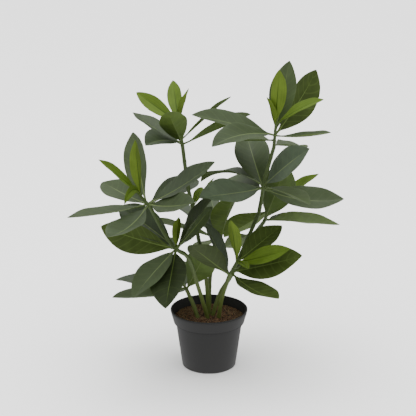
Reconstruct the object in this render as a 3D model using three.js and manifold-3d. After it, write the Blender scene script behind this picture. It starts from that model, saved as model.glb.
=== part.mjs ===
import * as THREE from "three";
import { mergeVertices } from "three/addons/utils/BufferGeometryUtils.js";
import Module from "manifold-3d";

// An artificial bay laurel in a thin plastic pot. Millimetres, +Z up, the front looks along -Y,
// and the origin is on the ground under the middle of the pot.

// Pot
const POT_HEIGHT = 93;
const RIM_RADIUS = 60;
const BAND_FOOT_RADIUS = 55;
const BAND_HEIGHT = 21;
const BODY_TOP_RADIUS = 51.7;
const BODY_FOOT_RADIUS = 42.3;
const STEP_SLOPE = 1.5;
const POT_WALL = 1.8;
const LIP_ROUND = 0.8;
const FOOT_ROUND = 2;
const POT_SIDES = 48;

// Soil
const SOIL_Z = 78;
const SOIL_SIDES = 36;

// Stems
const STEM_RADIUS_AT_SOIL = 2.8;
const STEM_RADIUS_AT_TOP = 2.4;
const CROWN_Z = 400;
const STEM_SIDES = 8;
const STEM_STEP = 12;
const SHOOT_TIP_SHARE = 0.6;

// Leaves
const LEAF_THICKNESS_SHARE = 0.0115;
const LEAF_THINNEST = 1;
const LEAF_CUP = 18;
const STALK_END = 0.07;
const STALK_HALF_WIDTH = 1.7;
const STALK_HALF_THICKNESS = 1.2;
const TIP_HALF_WIDTH = 0.8;
const BLADE_RISE_POWER = 1.1;
const BLADE_FALL_POWER = 0.92;
const LEAF_STATIONS = [0, 0.07, 0.15, 0.28, 0.42, 0.57, 0.73, 0.88, 1];

// Clearances
const JOINT_GAP = 0.3;
const LEAF_CLEARANCE = 0.6;

const COLOURS = {
  pot: 0x35373a,
  soil: 0x4f3322,
  stem: 0x5c7434,
  leaf: 0x445a2c,
};

const wasm = await Module();
wasm.setup();

const at = (x, y, z) => new THREE.Vector3(x, y, z);

// Size, droop and usual seat of each kind of leaf. The seat is the share of the shoot's length
// at which the leaf leaves it, and the bend is how far the blade turns up along its length.
const KINDS = {
  mature: { length: 125, width: 49, bend: -8, seat: 0.2 },
  middle: { length: 112, width: 42, bend: 0, seat: 0.3 },
  young: { length: 86, width: 24, bend: -4, seat: 0.95 },
  bud: { length: 48, width: 14, bend: -10, seat: 1 },
};

// One leaf of a shoot, in degrees. Turn is the way it points, seen from above, with 0 to the
// right and 90 to the back. Rise is its slope, and roll tips its right-hand edge up.
const leaf = (kind, turn, rise, roll = 0, changes = {}) => ({
  ...KINDS[kind],
  long: 1,
  wide: 1,
  turn,
  rise,
  roll,
  ...changes,
});

// Each mass of foliage: a shoot from its foot to its top, and the leaves on it.
const SHOOTS = {
  leaves_left_top: {
    foot: at(-39, -30, 361),
    top: at(-45, -32, 399),
    leaves: [
      leaf("young", 145, 25, 50),
      leaf("young", 98, 35, 25),
      leaf("young", 286, 49, -45),
      leaf("middle", 259, 37, -20, { seat: 0.15 }),
      leaf("middle", 135, 15, -5, { bend: 15, seat: 0.15 }),
      leaf("middle", 243, 13, 20, { bend: -25, seat: 0.1, wide: 1.1 }),
      leaf("middle", 43, 27, 40, { wide: 0.7 }),
      leaf("mature", 40, 10, 40, { bend: 0, seat: 0.1, long: 1.1 }),
      leaf("middle", 105, -5),
    ],
  },
  leaves_right_top: {
    foot: at(97, -5, 354),
    top: at(99, -6, 390),
    leaves: [
      leaf("young", 285, 80, 40, { long: 1.03, wide: 1.1 }),
      leaf("bud", 200, 72, -5, { seat: 0.9, wide: 1.5 }),
      leaf("young", 340, 32, -30, { bend: -20 }),
      leaf("middle", 55, 70, -20, { seat: 0.55 }),
      leaf("mature", 47, 41, -73, { bend: 15, seat: 0.5, long: 1.04, wide: 1.1 }),
      leaf("middle", 312, 13, -5, { bend: 15, seat: 0.5, long: 1.04, wide: 0.75 }),
      leaf("mature", 190, 16, 20, { seat: 0.5, long: 1.05 }),
      leaf("mature", 220, 2, 20, { bend: -35, seat: 0.5, wide: 0.95 }),
      leaf("middle", 60, -15, -5, { seat: 0.1 }),
      leaf("middle", 140, -10),
    ],
  },
  leaves_right_middle: {
    foot: at(81, -8, 287),
    top: at(83, -8, 304),
    leaves: [
      leaf("mature", 103, 30, 15, { bend: 5, wide: 1.15 }),
      leaf("mature", 310, 39, -72, { seat: 0.4, wide: 0.93 }),
      leaf("mature", 137, -8, -5, { bend: -60, seat: 0.4, long: 1.1, wide: 0.8 }),
      leaf("mature", 220, 5, 30, { bend: 5, wide: 1.08 }),
      leaf("middle", 305, 0, 5, { bend: -20 }),
      leaf("mature", 350, -5, -30, { bend: 35 }),
      leaf("mature", 120, -10, 20),
    ],
  },
  leaves_right_back: {
    foot: at(86, 55, 216),
    top: at(96, 59, 238),
    leaves: [
      leaf("mature", 298, 60, 55, { bend: 5, seat: 0.1, wide: 1.15 }),
      leaf("young", 10, 35, -20, { bend: -10, long: 1.1 }),
      leaf("mature", 330, 5, 40, { bend: -5, long: 1.03 }),
      leaf("middle", 40, -13, -5, { seat: 0.15, long: 0.9 }),
      leaf("middle", 75, 5, 0, { seat: 0.4 }),
      leaf("mature", 140, -35, -30, { bend: 5, seat: 0.9, long: 0.9, wide: 1.1 }),
    ],
  },
  leaves_right_fork: {
    foot: at(56, 8, 196),
    top: at(76, 8, 245),
    leaves: [
      leaf("middle", 113, -29, -50, { bend: 5, seat: 0.35, wide: 0.65 }),
    ],
  },
  leaves_middle_back: {
    foot: at(17, 38, 191),
    top: at(21, 38, 206),
    leaves: [
      leaf("mature", 289, 56, -32, { bend: -10, wide: 1.3 }),
      leaf("mature", 130, 15, -10),
      leaf("mature", 165, 10, -25, { bend: -5 }),
      leaf("middle", 100, 20, 0, { seat: 0.5, wide: 0.7 }),
      leaf("middle", 115, -30, 0, { seat: 0.4 }),
    ],
  },
  leaves_left_shoot: {
    foot: at(-24, -20, 260),
    top: at(-26, -21, 273),
    leaves: [
      leaf("bud", 20, 50, 35, { bend: 0, seat: 0.4, long: 1.15 }),
      leaf("bud", 70, 20, -15, { seat: 0.6 }),
    ],
  },
  leaves_left_outer: {
    foot: at(-87, -68, 281),
    top: at(-101, -74, 300),
    leaves: [
      leaf("young", 200, 45, 30),
      leaf("middle", 107, 50, 55, { bend: 5, seat: 0.4, long: 1.02, wide: 1.12 }),
      leaf("young", 252, 77, -65, { bend: 5, seat: 0.9, long: 1.08 }),
      leaf("bud", 245, 0, 65, { bend: -130, seat: 0.95, long: 1.25 }),
      leaf("mature", 126, 2, 20, { bend: 10, long: 1.03 }),
      leaf("mature", 205, -1, 0, { bend: 15, wide: 0.8 }),
      leaf("mature", 345, 35, -25, { bend: 15 }),
      leaf("mature", 57, 1, -25, { bend: -15, long: 1.1, wide: 0.8 }),
      leaf("middle", 55, -10, 30, { bend: 5, seat: 0.2 }),
      leaf("middle", 310, 15, -35, { bend: 15, seat: 0.15 }),
      leaf("mature", 245, -5, 0, { bend: 40, seat: 0.15 }),
    ],
  },
  leaves_left_middle: {
    foot: at(-46, -54, 207),
    top: at(-54, -56, 215),
    leaves: [
      leaf("mature", 160, 10, 75, { bend: 10, seat: 0.4 }),
      leaf("mature", 140, 20, 40, { bend: -10, seat: 0.4 }),
      leaf("mature", 240, -18, 5, { bend: -10, seat: 0.4, wide: 0.9 }),
      leaf("mature", 264, -20, -15, { bend: 0, seat: 0.4, long: 1.05, wide: 1.2 }),
      leaf("mature", 310, 50, -48, { bend: -5, seat: 0.4 }),
      leaf("bud", 285, 75, -20, { seat: 0.35, long: 1.2, wide: 1.2 }),
      leaf("middle", 25, 45, -20, { long: 0.75, wide: 0.85 }),
      leaf("middle", 110, -10),
    ],
  },
  leaves_right_front: {
    foot: at(30, -40, 160),
    top: at(43, -48, 190),
    leaves: [
      leaf("young", 255, 65, 20, { seat: 0.9 }),
      leaf("middle", 40, 23, -15, { seat: 0.85, long: 0.9 }),
      leaf("middle", 320, 24, -55, { bend: 5, seat: 0.85, long: 0.98, wide: 0.7 }),
      leaf("mature", 328, 22, -60, { bend: 5, seat: 0.3, long: 1.04, wide: 1.05 }),
      leaf("mature", 300, 1, 0, { bend: 25, seat: 0.25, long: 1.07, wide: 0.9 }),
      leaf("bud", 290, 5, -10, { seat: 0.95 }),
      leaf("mature", 146, 59, -8, { bend: 0, seat: 0.1, long: 0.71, wide: 0.8 }),
      leaf("mature", 232, 38, -32, { bend: 0, seat: 0.1, wide: 0.9 }),
      leaf("middle", 50, -5),
      leaf("middle", 35, 0, 0, { seat: 0.5 }),
    ],
  },
  leaves_low_left: {
    foot: at(-34, 8, 119),
    top: at(-38, 8, 125),
    leaves: [
      leaf("mature", 155, -2, 5, { seat: 0.5 }),
      leaf("mature", 210, 5, 0, { bend: 15, seat: 0.4, long: 1.03 }),
      leaf("mature", 305, 55, 55, { bend: 0, seat: 0.3, long: 0.85 }),
      leaf("middle", 100, 5, 0, { seat: 0.5 }),
      leaf("middle", 245, 12, 0, { seat: 0.5, long: 0.75 }),
    ],
  },
};

// Each limb rises from the soil, or from the top or the side of a shoot, to the foot of another.
const LIMBS = {
  stem_low_left: { path: [at(-15, -8, SOIL_Z), at(-24, 0, 98)], to: "leaves_low_left" },
  stem_left: {
    path: [at(0, -5, SOIL_Z), at(-18, -28, 144), at(-33, -48, 196)],
    to: "leaves_left_middle",
  },
  stem_left_tall: {
    path: [at(0, 9, SOIL_Z), at(-5, -2, 147), at(-18, -14, 223)],
    to: "leaves_left_shoot",
  },
  stem_middle: {
    path: [at(0, 16, SOIL_Z), at(3, 22, 146), at(12, 34, 176)],
    to: "leaves_middle_back",
  },
  stem_right_tall: {
    path: [at(3, 2, SOIL_Z), at(18, 4, 118), at(35, 5, 146)],
    to: "leaves_right_fork",
  },
  stem_right_front: { path: [at(14, -5, SOIL_Z), at(20, -20, 118)], to: "leaves_right_front" },
  bough_left_outer: {
    from: "leaves_left_middle",
    path: [at(-70, -62, 244)],
    to: "leaves_left_outer",
  },
  bough_left_top: {
    from: "leaves_left_shoot",
    path: [at(-29, -22, 283), at(-34, -25, 316)],
    to: "leaves_left_top",
  },
  bough_right_middle: {
    from: "leaves_right_fork",
    path: [at(79, 0, 268)],
    to: "leaves_right_middle",
  },
  bough_right_top: {
    from: "leaves_right_middle",
    path: [at(87, -8, 318), at(93, -6, 340)],
    to: "leaves_right_top",
  },
  bough_right_back: {
    from: "leaves_right_fork",
    beside: 0.12,
    path: [at(75, 35, 209)],
    to: "leaves_right_back",
  },
};

const radians = THREE.MathUtils.degToRad;

// The thickness of every stem and shoot depends only on how high it has grown.
function stemRadius(z) {
  const share = THREE.MathUtils.clamp((z - SOIL_Z) / (CROWN_Z - SOIL_Z), 0, 1);
  return THREE.MathUtils.lerp(STEM_RADIUS_AT_SOIL, STEM_RADIUS_AT_TOP, share);
}

// A closed skin over rings of points that go anticlockwise round the way they follow each other.
function skin(rings) {
  const count = rings[0].length;
  const points = rings.flat();
  const middles = [rings[0], rings.at(-1)].map((ring) =>
    ring.reduce((sum, p) => sum.add(p), at(0, 0, 0)).divideScalar(count),
  );
  const faces = [];
  for (let i = 0; i < rings.length - 1; i++) {
    for (let j = 0; j < count; j++) {
      const a = i * count + j;
      const b = i * count + ((j + 1) % count);
      faces.push(a, b, b + count, a, b + count, a + count);
    }
  }
  const last = points.length - count;
  for (let j = 0; j < count; j++) {
    const k = (j + 1) % count;
    faces.push(points.length, k, j);
    faces.push(points.length + 1, last + j, last + k);
  }
  return new THREE.BufferGeometry().setFromPoints([...points, ...middles]).setIndex(faces);
}

function solidOf(geometry) {
  const bare = geometry.clone();
  bare.deleteAttribute("normal");
  bare.deleteAttribute("uv");
  const merged = mergeVertices(bare);
  const vertProperties = new Float32Array(merged.attributes.position.array);
  const triVerts = new Uint32Array(merged.index.array);
  return new wasm.Manifold(new wasm.Mesh({ numProp: 3, vertProperties, triVerts }));
}

function geometryOf(solid) {
  const { numProp, vertProperties, triVerts } = solid.getMesh();
  const geometry = new THREE.BufferGeometry();
  geometry.setAttribute("position", new THREE.BufferAttribute(vertProperties, numProp));
  geometry.setIndex(new THREE.BufferAttribute(triVerts, 1));
  geometry.computeVertexNormals();
  return geometry;
}

// A round limb along a list of points. Its first and last rings face the given ways.
function limbSolid(points, radii, firstWay, lastWay) {
  const curve = new THREE.CatmullRomCurve3(points);
  const steps = Math.max(2, Math.round(curve.getLength() / STEM_STEP));
  const rings = [];
  for (let i = 0; i <= steps; i++) {
    const share = i / steps;
    const centre = curve.getPointAt(share);
    let way = curve.getTangentAt(share);
    if (i === 0 && firstWay) way = firstWay;
    if (i === steps && lastWay) way = lastWay;
    const right = at(0, 1, 0).cross(way).normalize();
    const over = way.clone().cross(right).normalize();
    const radius = radii(centre.z, share);
    const ring = [];
    for (let j = 0; j < STEM_SIDES; j++) {
      const angle = (2 * Math.PI * j) / STEM_SIDES;
      const offset = right.clone().multiplyScalar(Math.cos(angle));
      offset.addScaledVector(over, Math.sin(angle));
      ring.push(centre.clone().addScaledVector(offset, radius));
    }
    rings.push(ring);
  }
  return solidOf(skin(rings));
}

// Half the blade's width at a share of its length, as a share of the widest half.
function bladeShare(t) {
  const u = THREE.MathUtils.clamp((t - STALK_END) / (1 - STALK_END), 0, 1);
  const widest = BLADE_RISE_POWER / (BLADE_RISE_POWER + BLADE_FALL_POWER);
  const outline = (v) => v ** BLADE_RISE_POWER * (1 - v) ** BLADE_FALL_POWER;
  return outline(u) / outline(widest);
}

// The middle line of a leaf is an arc that starts at its base and turns by its bend.
function leafSolid(base, { length, width, bend, long, wide, turn, rise, roll }) {
  const reach = length * long;
  const ahead = at(Math.cos(radians(turn)), Math.sin(radians(turn)), 0);
  const up = at(0, 0, 1);
  const arc = radians(bend || 0.01);
  const start = radians(rise) - arc / 2;
  const halfThickness = Math.max(LEAF_THINNEST, LEAF_THICKNESS_SHARE * reach) / 2;
  const cup = radians(LEAF_CUP);
  const rings = LEAF_STATIONS.map((t) => {
    const slope = start + arc * t;
    const centre = base
      .clone()
      .addScaledVector(ahead, (reach * (Math.sin(slope) - Math.sin(start))) / arc)
      .addScaledVector(up, (reach * (Math.cos(start) - Math.cos(slope))) / arc);
    const along = ahead.clone().multiplyScalar(Math.cos(slope));
    along.addScaledVector(up, Math.sin(slope));
    const upright = ahead.clone().multiplyScalar(-Math.sin(slope));
    upright.addScaledVector(up, Math.cos(slope));
    const side = along.clone().cross(upright).applyAxisAngle(along, -radians(roll));
    const face = upright.applyAxisAngle(along, -radians(roll));
    const onStalk = t <= STALK_END;
    const least = onStalk ? STALK_HALF_WIDTH : TIP_HALF_WIDTH;
    const half = Math.max(least, (width * wide * bladeShare(t)) / 2);
    const thick = onStalk ? STALK_HALF_THICKNESS : halfThickness;
    const point = (edge, level) =>
      centre
        .clone()
        .addScaledVector(side, edge * half * Math.cos(cup))
        .addScaledVector(face, Math.abs(edge) * half * Math.sin(cup) + level * thick);
    return [point(0, 1), point(1, 1), point(1, -1), point(0, -1), point(-1, -1), point(-1, 1)];
  });
  return solidOf(skin(rings));
}

const shootWay = (shoot) => shoot.top.clone().sub(shoot.foot).normalize();

// A stub of stem that carries the leaves and narrows to the shoot's tip.
function shootSolid(name) {
  const shoot = SHOOTS[name];
  const goesOn = Object.values(LIMBS).some((limb) => limb.from === name && !limb.beside);
  const narrowing = goesOn ? 1 : SHOOT_TIP_SHARE;
  const radius = (z, share) => stemRadius(z) * THREE.MathUtils.lerp(1, narrowing, share);
  return limbSolid([shoot.foot, shoot.top], radius, shootWay(shoot), shootWay(shoot));
}

// Where a limb starts, and the way its first face looks.
function limbStart({ from, beside, path }) {
  if (!from) {
    const foot = path[0].clone();
    foot.z += JOINT_GAP;
    return { point: foot, way: at(0, 0, 1), rest: path.slice(1) };
  }
  const shoot = SHOOTS[from];
  const way = shootWay(shoot);
  if (!beside) {
    return { point: shoot.top.clone().addScaledVector(way, JOINT_GAP), way, rest: path };
  }
  const middle = shoot.foot.clone().lerp(shoot.top, beside);
  const out = path[0].clone().sub(middle).projectOnPlane(way).normalize();
  const point = middle.clone().addScaledVector(out, stemRadius(middle.z) + JOINT_GAP);
  return { point, way: out, rest: path };
}

function makeLimb(name) {
  const limb = LIMBS[name];
  const { point, way, rest } = limbStart(limb);
  const shoot = SHOOTS[limb.to];
  const lastWay = shootWay(shoot);
  const end = shoot.foot.clone().addScaledVector(lastWay, -JOINT_GAP);
  return limbSolid([point, ...rest, end], stemRadius, way, lastWay);
}

// Leaves are fused on one by one. One that would come too near a limb or another mass is left out.
function makeMass(name, neighbours) {
  const shoot = SHOOTS[name];
  let mass = shootSolid(name);
  for (const each of shoot.leaves) {
    const blade = leafSolid(shoot.foot.clone().lerp(shoot.top, each.seat), each);
    const free = neighbours.every(
      (other) => blade.minGap(other, LEAF_CLEARANCE) >= LEAF_CLEARANCE,
    );
    if (free) mass = mass.add(blade);
  }
  return mass;
}

// The wall's radius at a height above the ground, outside.
function wallRadius(z) {
  const bandFoot = POT_HEIGHT - BAND_HEIGHT;
  if (z < bandFoot) return THREE.MathUtils.mapLinear(z, 0, bandFoot, BODY_FOOT_RADIUS, BODY_TOP_RADIUS);
  return THREE.MathUtils.mapLinear(z, bandFoot, POT_HEIGHT, BAND_FOOT_RADIUS, RIM_RADIUS);
}

function turned(profile, sides) {
  const points = profile.map(([radius, height]) => new THREE.Vector2(radius, height));
  return solidOf(new THREE.LatheGeometry(points, sides).rotateX(Math.PI / 2));
}

function makePot() {
  const bandFoot = POT_HEIGHT - BAND_HEIGHT;
  const inside = (z) => wallRadius(z) - POT_WALL;
  return turned(
    [
      [0, 0],
      [BODY_FOOT_RADIUS - FOOT_ROUND, 0],
      [BODY_FOOT_RADIUS - FOOT_ROUND * 0.3, FOOT_ROUND * 0.3],
      [wallRadius(FOOT_ROUND), FOOT_ROUND],
      [BODY_TOP_RADIUS, bandFoot - STEP_SLOPE],
      [BAND_FOOT_RADIUS - LIP_ROUND, bandFoot],
      [BAND_FOOT_RADIUS, bandFoot + LIP_ROUND],
      [RIM_RADIUS, POT_HEIGHT - LIP_ROUND],
      [RIM_RADIUS - POT_WALL / 2, POT_HEIGHT],
      [RIM_RADIUS - POT_WALL, POT_HEIGHT - LIP_ROUND],
      [inside(bandFoot + POT_WALL), bandFoot + POT_WALL],
      [BODY_TOP_RADIUS - POT_WALL, bandFoot],
      [inside(POT_WALL), POT_WALL],
      [0, POT_WALL],
    ],
    POT_SIDES,
  );
}

function makeSoil() {
  const bandFoot = POT_HEIGHT - BAND_HEIGHT;
  const inset = POT_WALL + 2 * JOINT_GAP;
  const floor = POT_WALL + JOINT_GAP;
  return turned(
    [
      [0, floor],
      [wallRadius(floor) - inset, floor],
      [BODY_TOP_RADIUS - inset, bandFoot + JOINT_GAP],
      [wallRadius(bandFoot + POT_WALL + JOINT_GAP) - inset, bandFoot + POT_WALL + 2 * JOINT_GAP],
      [wallRadius(SOIL_Z) - inset, SOIL_Z],
      [0, SOIL_Z],
    ],
    SOIL_SIDES,
  );
}

const laurel = new THREE.Group();

function addMesh(name, solid, colour, roughness) {
  const material = new THREE.MeshStandardMaterial({ color: colour, roughness, metalness: 0 });
  const mesh = new THREE.Mesh(geometryOf(solid), material);
  mesh.name = name;
  laurel.add(mesh);
}

addMesh("pot", makePot(), COLOURS.pot, 0.6);
addMesh("soil", makeSoil(), COLOURS.soil, 0.95);

const limbs = new Map(Object.keys(LIMBS).map((name) => [name, makeLimb(name)]));
limbs.forEach((solid, name) => addMesh(name, solid, COLOURS.stem, 0.6));

const finished = [...limbs.values()];
for (const name of Object.keys(SHOOTS)) {
  const mass = makeMass(name, finished);
  addMesh(name, mass, COLOURS.leaf, 0.5);
  finished.push(mass);
}

export default laurel;
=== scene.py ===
"""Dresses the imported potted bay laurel: camera, light, floor, pot, filling, stems and leaves.

Sizes are in millimetres, angles in degrees and colours linear, where no comment says otherwise.
"""

import math
from functools import partial

import bpy
import numpy as np
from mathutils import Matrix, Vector


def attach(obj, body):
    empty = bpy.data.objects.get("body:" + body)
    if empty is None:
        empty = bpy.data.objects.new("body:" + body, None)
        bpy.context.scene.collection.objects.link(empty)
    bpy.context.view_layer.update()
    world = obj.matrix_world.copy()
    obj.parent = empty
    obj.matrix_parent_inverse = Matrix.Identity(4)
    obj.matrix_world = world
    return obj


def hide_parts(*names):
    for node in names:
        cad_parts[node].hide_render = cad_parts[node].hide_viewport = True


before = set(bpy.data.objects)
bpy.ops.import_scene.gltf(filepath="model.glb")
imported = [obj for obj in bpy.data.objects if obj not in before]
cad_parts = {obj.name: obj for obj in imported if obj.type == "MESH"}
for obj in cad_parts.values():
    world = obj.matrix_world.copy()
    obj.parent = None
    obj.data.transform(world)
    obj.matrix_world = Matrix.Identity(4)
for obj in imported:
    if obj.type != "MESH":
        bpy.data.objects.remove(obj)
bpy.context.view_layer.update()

MM = 0.001
BODY = "root"

# Camera
CAMERA_TARGET = (-1.557, 0, 256.79)
CAMERA_DISTANCE = 2000
CAMERA_PITCH = 17.605
CAMERA_SIGHT = 100000
SENSOR_WIDTH = 36
FOCAL_PIXELS = 1314.69
PICTURE_WIDTH = 416

# Floor and light. The sky is brightest where a way's upward or downward share reaches "at".
FLOOR_SIZE = 30000
SKY_HORIZON = 0.52
SKY_OVERHEAD = {"adds": 0.6, "at": 1.2}
SKY_BOUNCE = {"adds": 0.5, "at": -0.8}
SOFTBOX = {"at": (-400, 300, 2300), "size": 1800, "watts": 18}
FLOOR_SUN = {"strength": 5.55, "spread": 110}

# Pot
POT_HEIGHT = 93
RIM_RADIUS = 60
BAND_FOOT_RADIUS = 55
BAND_HEIGHT = 21
BAND_FOOT_Z = POT_HEIGHT - BAND_HEIGHT
BODY_TOP_RADIUS = 51.7
BODY_FOOT_RADIUS = 42.3
POT_WALL = 1.8
POT_SIDES = 160
POT_MIDDLE_RADIUS = 0.4
STEP_SLOPE = 1.5
STEP_EASE = 0.2
STEP_ROUND = 1.2
BAND_FOOT_ROUND = 0.9
LIP_HEIGHT = 2.2
LIP_SLOPE = 0.6
LIP_OUT = 0.1
LIP_ROUND = 0.4
RIM_ROUND = 0.8
RIM_INSIDE_HEIGHT = 3
RIM_INSIDE_TAPER = 0.6
FOOT_EASE = 0.4
FOOT_ROUND = 2.2
FOOT_RING_WIDTH = 6
FOOT_RING_DEPTH = 1
FOOT_RING_SLOPE = 0.8
FOOT_RING_ROUND = 0.5
INSIDE_FOOT_ROUND = 1
ROUND_STEPS = 6

# Filling. Its gaps keep it clear of the pot's inside, and its waves are in radians a millimetre.
SOIL_Z = 78
SOIL_SIDES = 96
SOIL_RINGS = 22
SOIL_MOUND = 1.2
SOIL_UNEVEN = 0.5
SOIL_MIDDLE_RADIUS = 1.5
SOIL_FLOOR_MIDDLE_RADIUS = 1
SOIL_FLOOR_GAP = 0.2
SOIL_FOOT_GAP = 1.2
SOIL_UNDER_STEP_GAP = 0.4
SOIL_OVER_STEP_GAP = 0.3
SOIL_STEP_REACH = 2
SOIL_TOP_GAP = 0.1
SOIL_BROAD_WAVE = (0.31, 0.27)
SOIL_BROAD_WAVE_SHIFT = 1.3
SOIL_FINE_WAVE = (0.83, 0.71)
SOIL_FINE_WAVE_SHARE = 0.6

# Loose granules. Smallest and largest are shares of the radius in three directions.
GRANULES_PER_M2 = 248000
GRANULE_RADIUS = 1.4
GRANULE_SUBDIVISIONS = 2
GRANULE_SMALLEST = (0.55, 0.5, 0.45)
GRANULE_LARGEST = (1.5, 1.2, 1.0)
GRANULE_LUMP_NOISE = (700, 1)
GRANULE_LUMP_HEIGHT = 1.6
GRANULE_WALL_GAP = 1
GRANULE_MIDDLE_RADIUS = 3
GRANULES = {
    "soil_granules_dark": {"seed": 3, "colour": (0.052, 0.026, 0.015)},
    "soil_granules_brown": {"seed": 11, "colour": (0.14, 0.066, 0.034)},
    "soil_granules_light": {"seed": 29, "colour": (0.26, 0.135, 0.072)},
    "soil_granules_straw": {"seed": 47, "colour": (0.29, 0.195, 0.105)},
}

# Stems. A ridge's and a knot's height are shares of the radius. A ridge twists by radians a millimetre.
STEM_RADIUS_AT_SOIL = 2.8
STEM_RADIUS_AT_TOP = 2.4
STEM_SKIN = 0.35
CROWN_Z = 400
STEM_SIDES = 20
STEM_STEP = 1.6
STEM_FEWEST_STEPS = 3
CURVE_POINTS = 60
STEM_RIDGES = 5
STEM_RIDGE_HEIGHT = 0.05
STEM_RIDGE_TWIST = 0.02
STEM_KNOT_SPACING = 27
STEM_KNOT_HEIGHT = 0.1
STEM_KNOT_WIDTH = 1.6
SHOOT_TIP_SHARE = 0.6
SHOOT_BUD_LENGTH = 4
SHOOT_BUD_RINGS = (0.3, 0.6, 0.85, 0.97)
SINK_INTO_SOIL = 6
SINK_INTO_SHOOT = 1
JOINT_GAP = 0.3

# Leaves. Places along a leaf are shares of its length, and places across it are shares of half its width.
# QUILT_FROM_RIB is in millimetres.
STRAIGHT_BEND = 0.01
LEAF_CUP = 18
STALK_END = 0.07
STALK_HALF_WIDTH = 1.9
STALK_TAPER_POWER = 0.6
STALK_HALF_THICKNESS = 1.35
STALK_SQUARENESS = 2
STALK_TO_BLADE = (STALK_END * 0.5, STALK_END * 2.4)
STALK_BLEND_POWER = 3
BLADE_HALF_THICKNESS = 0.34
BLADE_SQUARENESS = 6
BLADE_RISE_POWER = 1.1
BLADE_FALL_POWER = 0.92
FOLD_SOFTNESS = 0.16
GROOVE_DEPTH = 0.45
GROOVE_WIDTH = 1.5
RIB_HEIGHT = 0.75
RIB_WIDTH = 1.1
RIB_TAPER_POWER = 0.8
VEINS_PER_SIDE = 9
VEIN_SWEEP = 0.15
VEIN_SWEEP_POWER = 1.25
QUILT_HEIGHT = 0.16
QUILT_FROM_RIB = (1.2, 5)
QUILT_EDGE_POWER = 4
WAVE_HEIGHT = 0.9
WAVE_CHANCE = (0.5, 1.3)
WAVE_FULL_HALF_WIDTH = 20
WAVE_FADE = 0.2
WAVES = 2.3
TWIST = 7
TWIST_MIDDLE = 0.4
TWIST_RANGE = (0.05, 0.3)
TIP_CURL = 9
TIP_CURL_CHANCE = (-1, 0.4)
TIP_CURL_FROM = 0.72
TIP_CURL_REACH = 0.12
TIP_THINNING = 0.5
TIP_THINS_FROM = 0.9
TIP_POINT = 0.008
ACROSS_STEPS = 8
ACROSS_POWER = 1.6
MARGIN_SHARE = 0.965
LEAF_STATIONS = np.concatenate(
    [[0, 0.018, 0.036, 0.055, 0.075, 0.1, 0.13], np.linspace(0.165, 0.93, 24), [0.955, 0.975, 0.99]]
)
LEAF_SEED = 7

# Each kind's size, how far its slope changes towards the tip, its usual seat and its usual look.
KINDS = {
    "mature": {"length": 125, "width": 49, "bend": -8, "seat": 0.2, "look": "mature"},
    "middle": {"length": 112, "width": 42, "bend": 0, "seat": 0.3, "look": "middle"},
    "young": {"length": 86, "width": 24, "bend": -4, "seat": 0.95, "look": "young"},
    "bud": {"length": 48, "width": 14, "bend": -10, "seat": 1, "look": "young"},
}


def leaf(kind, turn, rise, roll=0, long=1, wide=1, **changes):
    """One leaf of a shoot: the way it points seen from above, its slope and its roll, in degrees.

    Long and wide are factors on its kind's size.
    """
    usual = KINDS[kind]
    size = {"length": usual["length"] * long, "half_width": usual["width"] * wide / 2}
    return {**usual, **size, "turn": turn, "rise": rise, "roll": roll, **changes}


mature = partial(leaf, "mature")
middle = partial(leaf, "middle")
young = partial(leaf, "young")
bud = partial(leaf, "bud")


def shoot(foot, top, *leaves):
    """A mass of foliage: its shoot from foot to top, and the leaves on it."""
    return {"foot": foot, "top": top, "leaves": leaves}


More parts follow.
